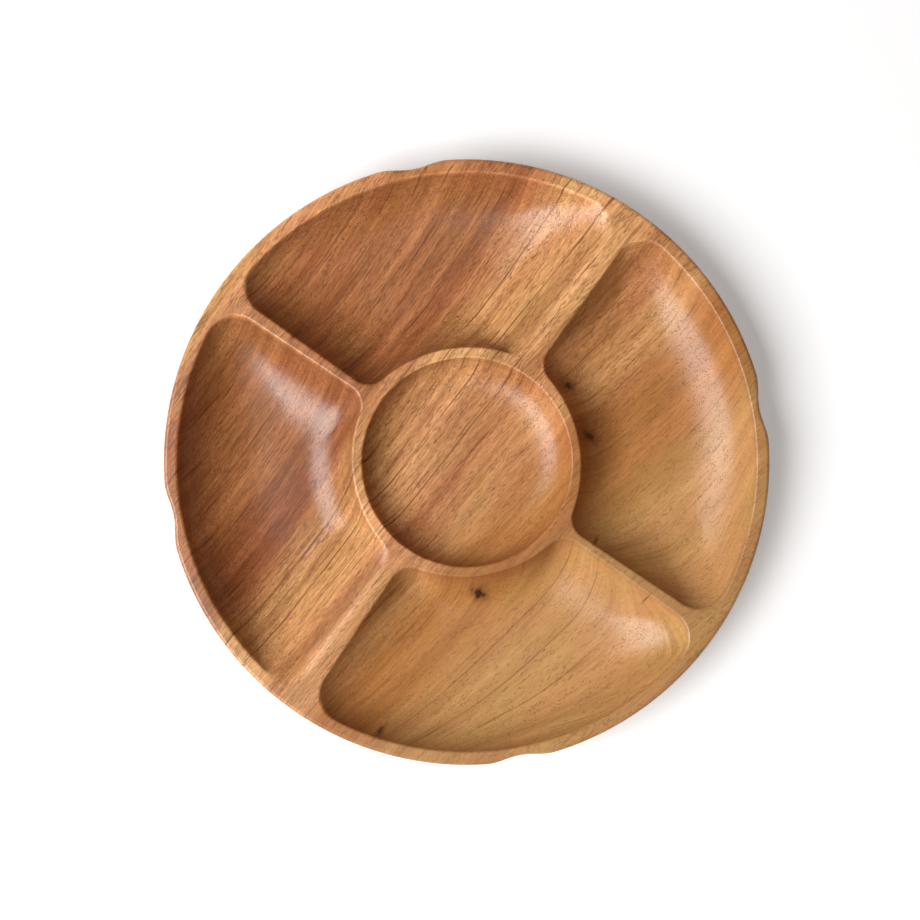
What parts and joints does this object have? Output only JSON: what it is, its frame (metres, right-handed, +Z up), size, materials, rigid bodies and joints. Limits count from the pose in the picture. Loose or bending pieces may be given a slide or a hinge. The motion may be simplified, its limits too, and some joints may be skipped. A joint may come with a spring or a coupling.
{
  "type": "chip and dip tray",
  "caption": "Round carved wooden serving tray with wedge-shaped compartments around a central dip well, straight dividers, finger notches in the rim and a flat foot.",
  "frame": {"origin": "middle of the flat foot that the tray stands on", "axes": "+Z up out of the compartments; +Y along the grain, the boards and one pair of dividers; +X across the boards"},
  "size_m": [0.33, 0.33, 0.032],
  "materials": {
    "oiled_wood": "satin oil"
  },
  "bodies": {
    "root": {"left_edge_board": "oiled_wood", "left_middle_board": "oiled_wood", "centre_board": "oiled_wood", "right_middle_board": "oiled_wood", "right_edge_board": "oiled_wood"}
  },
  "joints": []
}
